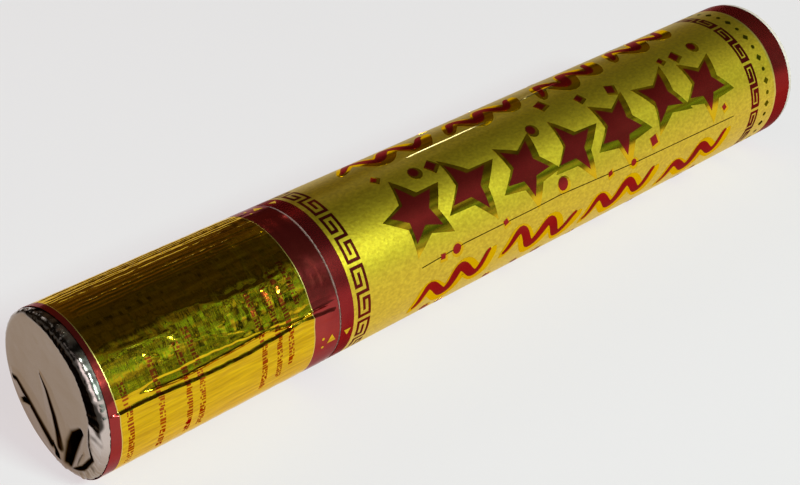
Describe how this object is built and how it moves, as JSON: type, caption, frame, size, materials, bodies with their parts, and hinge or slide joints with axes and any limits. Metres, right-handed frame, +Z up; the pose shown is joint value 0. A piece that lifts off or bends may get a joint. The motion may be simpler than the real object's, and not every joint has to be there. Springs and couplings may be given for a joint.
{
  "type": "confetti popper",
  "caption": "Twist-release confetti popper: a foil-capped handle turns on a cardboard barrel and lifts an air bottle's stopper, so that the air drives the confetti out of the muzzle.",
  "frame": {"origin": "on the table, below the middle of the tube as it lies on its side", "axes": "+X along the tube from the base to the muzzle, +Z up"},
  "size_m": [0.297, 0.05, 0.05],
  "materials": {
    "wound_cardboard": "wound board with a pale cut edge",
    "gold_film": "metallised gold film with maroon print",
    "silver_foil": "thin pleated foil",
    "greyboard": "plain grey board",
    "bottle_plastic": "moulded, milky",
    "collar_plastic": "moulded, satin red",
    "seal_rubber": "moulded, matt black",
    "pin_steel": "drawn bright steel",
    "felt": "pressed grey felt",
    "confetti_gold": "slips of gold metallic paper",
    "confetti_red": "slips of red metallic paper",
    "confetti_green": "slips of green metallic paper",
    "confetti_silver": "slips of silver metallic paper"
  },
  "bodies": {
    "barrel": {"barrel_tube": "wound_cardboard", "barrel_wrap": "gold_film", "coupler_sleeve": "wound_cardboard", "key_collar": "collar_plastic"},
    "handle": {"handle_tube": "wound_cardboard", "handle_wrap": "gold_film", "base_foil": "silver_foil", "base_disc": "greyboard", "air_bottle": "bottle_plastic", "filling_valve": "seal_rubber"},
    "stopper": {"release_stopper": "collar_plastic", "stopper_ring": "seal_rubber", "cross_pin": "pin_steel"},
    "charge": {"wad": "felt", "confetti_1_left": "confetti_gold", "confetti_1_right": "confetti_red", "confetti_1_top": "confetti_green", "confetti_1_bottom": "confetti_silver", "confetti_2_left": "confetti_red", "confetti_2_right": "confetti_green", "confetti_2_top": "confetti_silver", "confetti_2_bottom": "confetti_gold", "confetti_3_left": "confetti_green", "confetti_3_right": "confetti_silver", "confetti_3_top": "confetti_gold", "confetti_3_bottom": "confetti_red", "muzzle_disc": "greyboard"}
  },
  "joints": [
    {"name": "handle_twist", "type": "hinge", "parent": "barrel", "child": "handle", "pos_m": [-0.0689, 0, 0.025], "axis": [1, 0, 0], "range_deg": [0, 90]},
    {"name": "stopper_lift", "type": "slide", "parent": "barrel", "child": "stopper", "axis": [1, 0, 0], "range_m": [0, 0.004]},
    {"name": "confetti_launch", "type": "slide", "parent": "barrel", "child": "charge", "axis": [1, 0, 0], "range_m": [0, 0.1949]}
  ],
  "couplings": [
    {"joint": "stopper_lift", "follows": "handle_twist", "m_per_rad": 0.0025465}
  ]
}
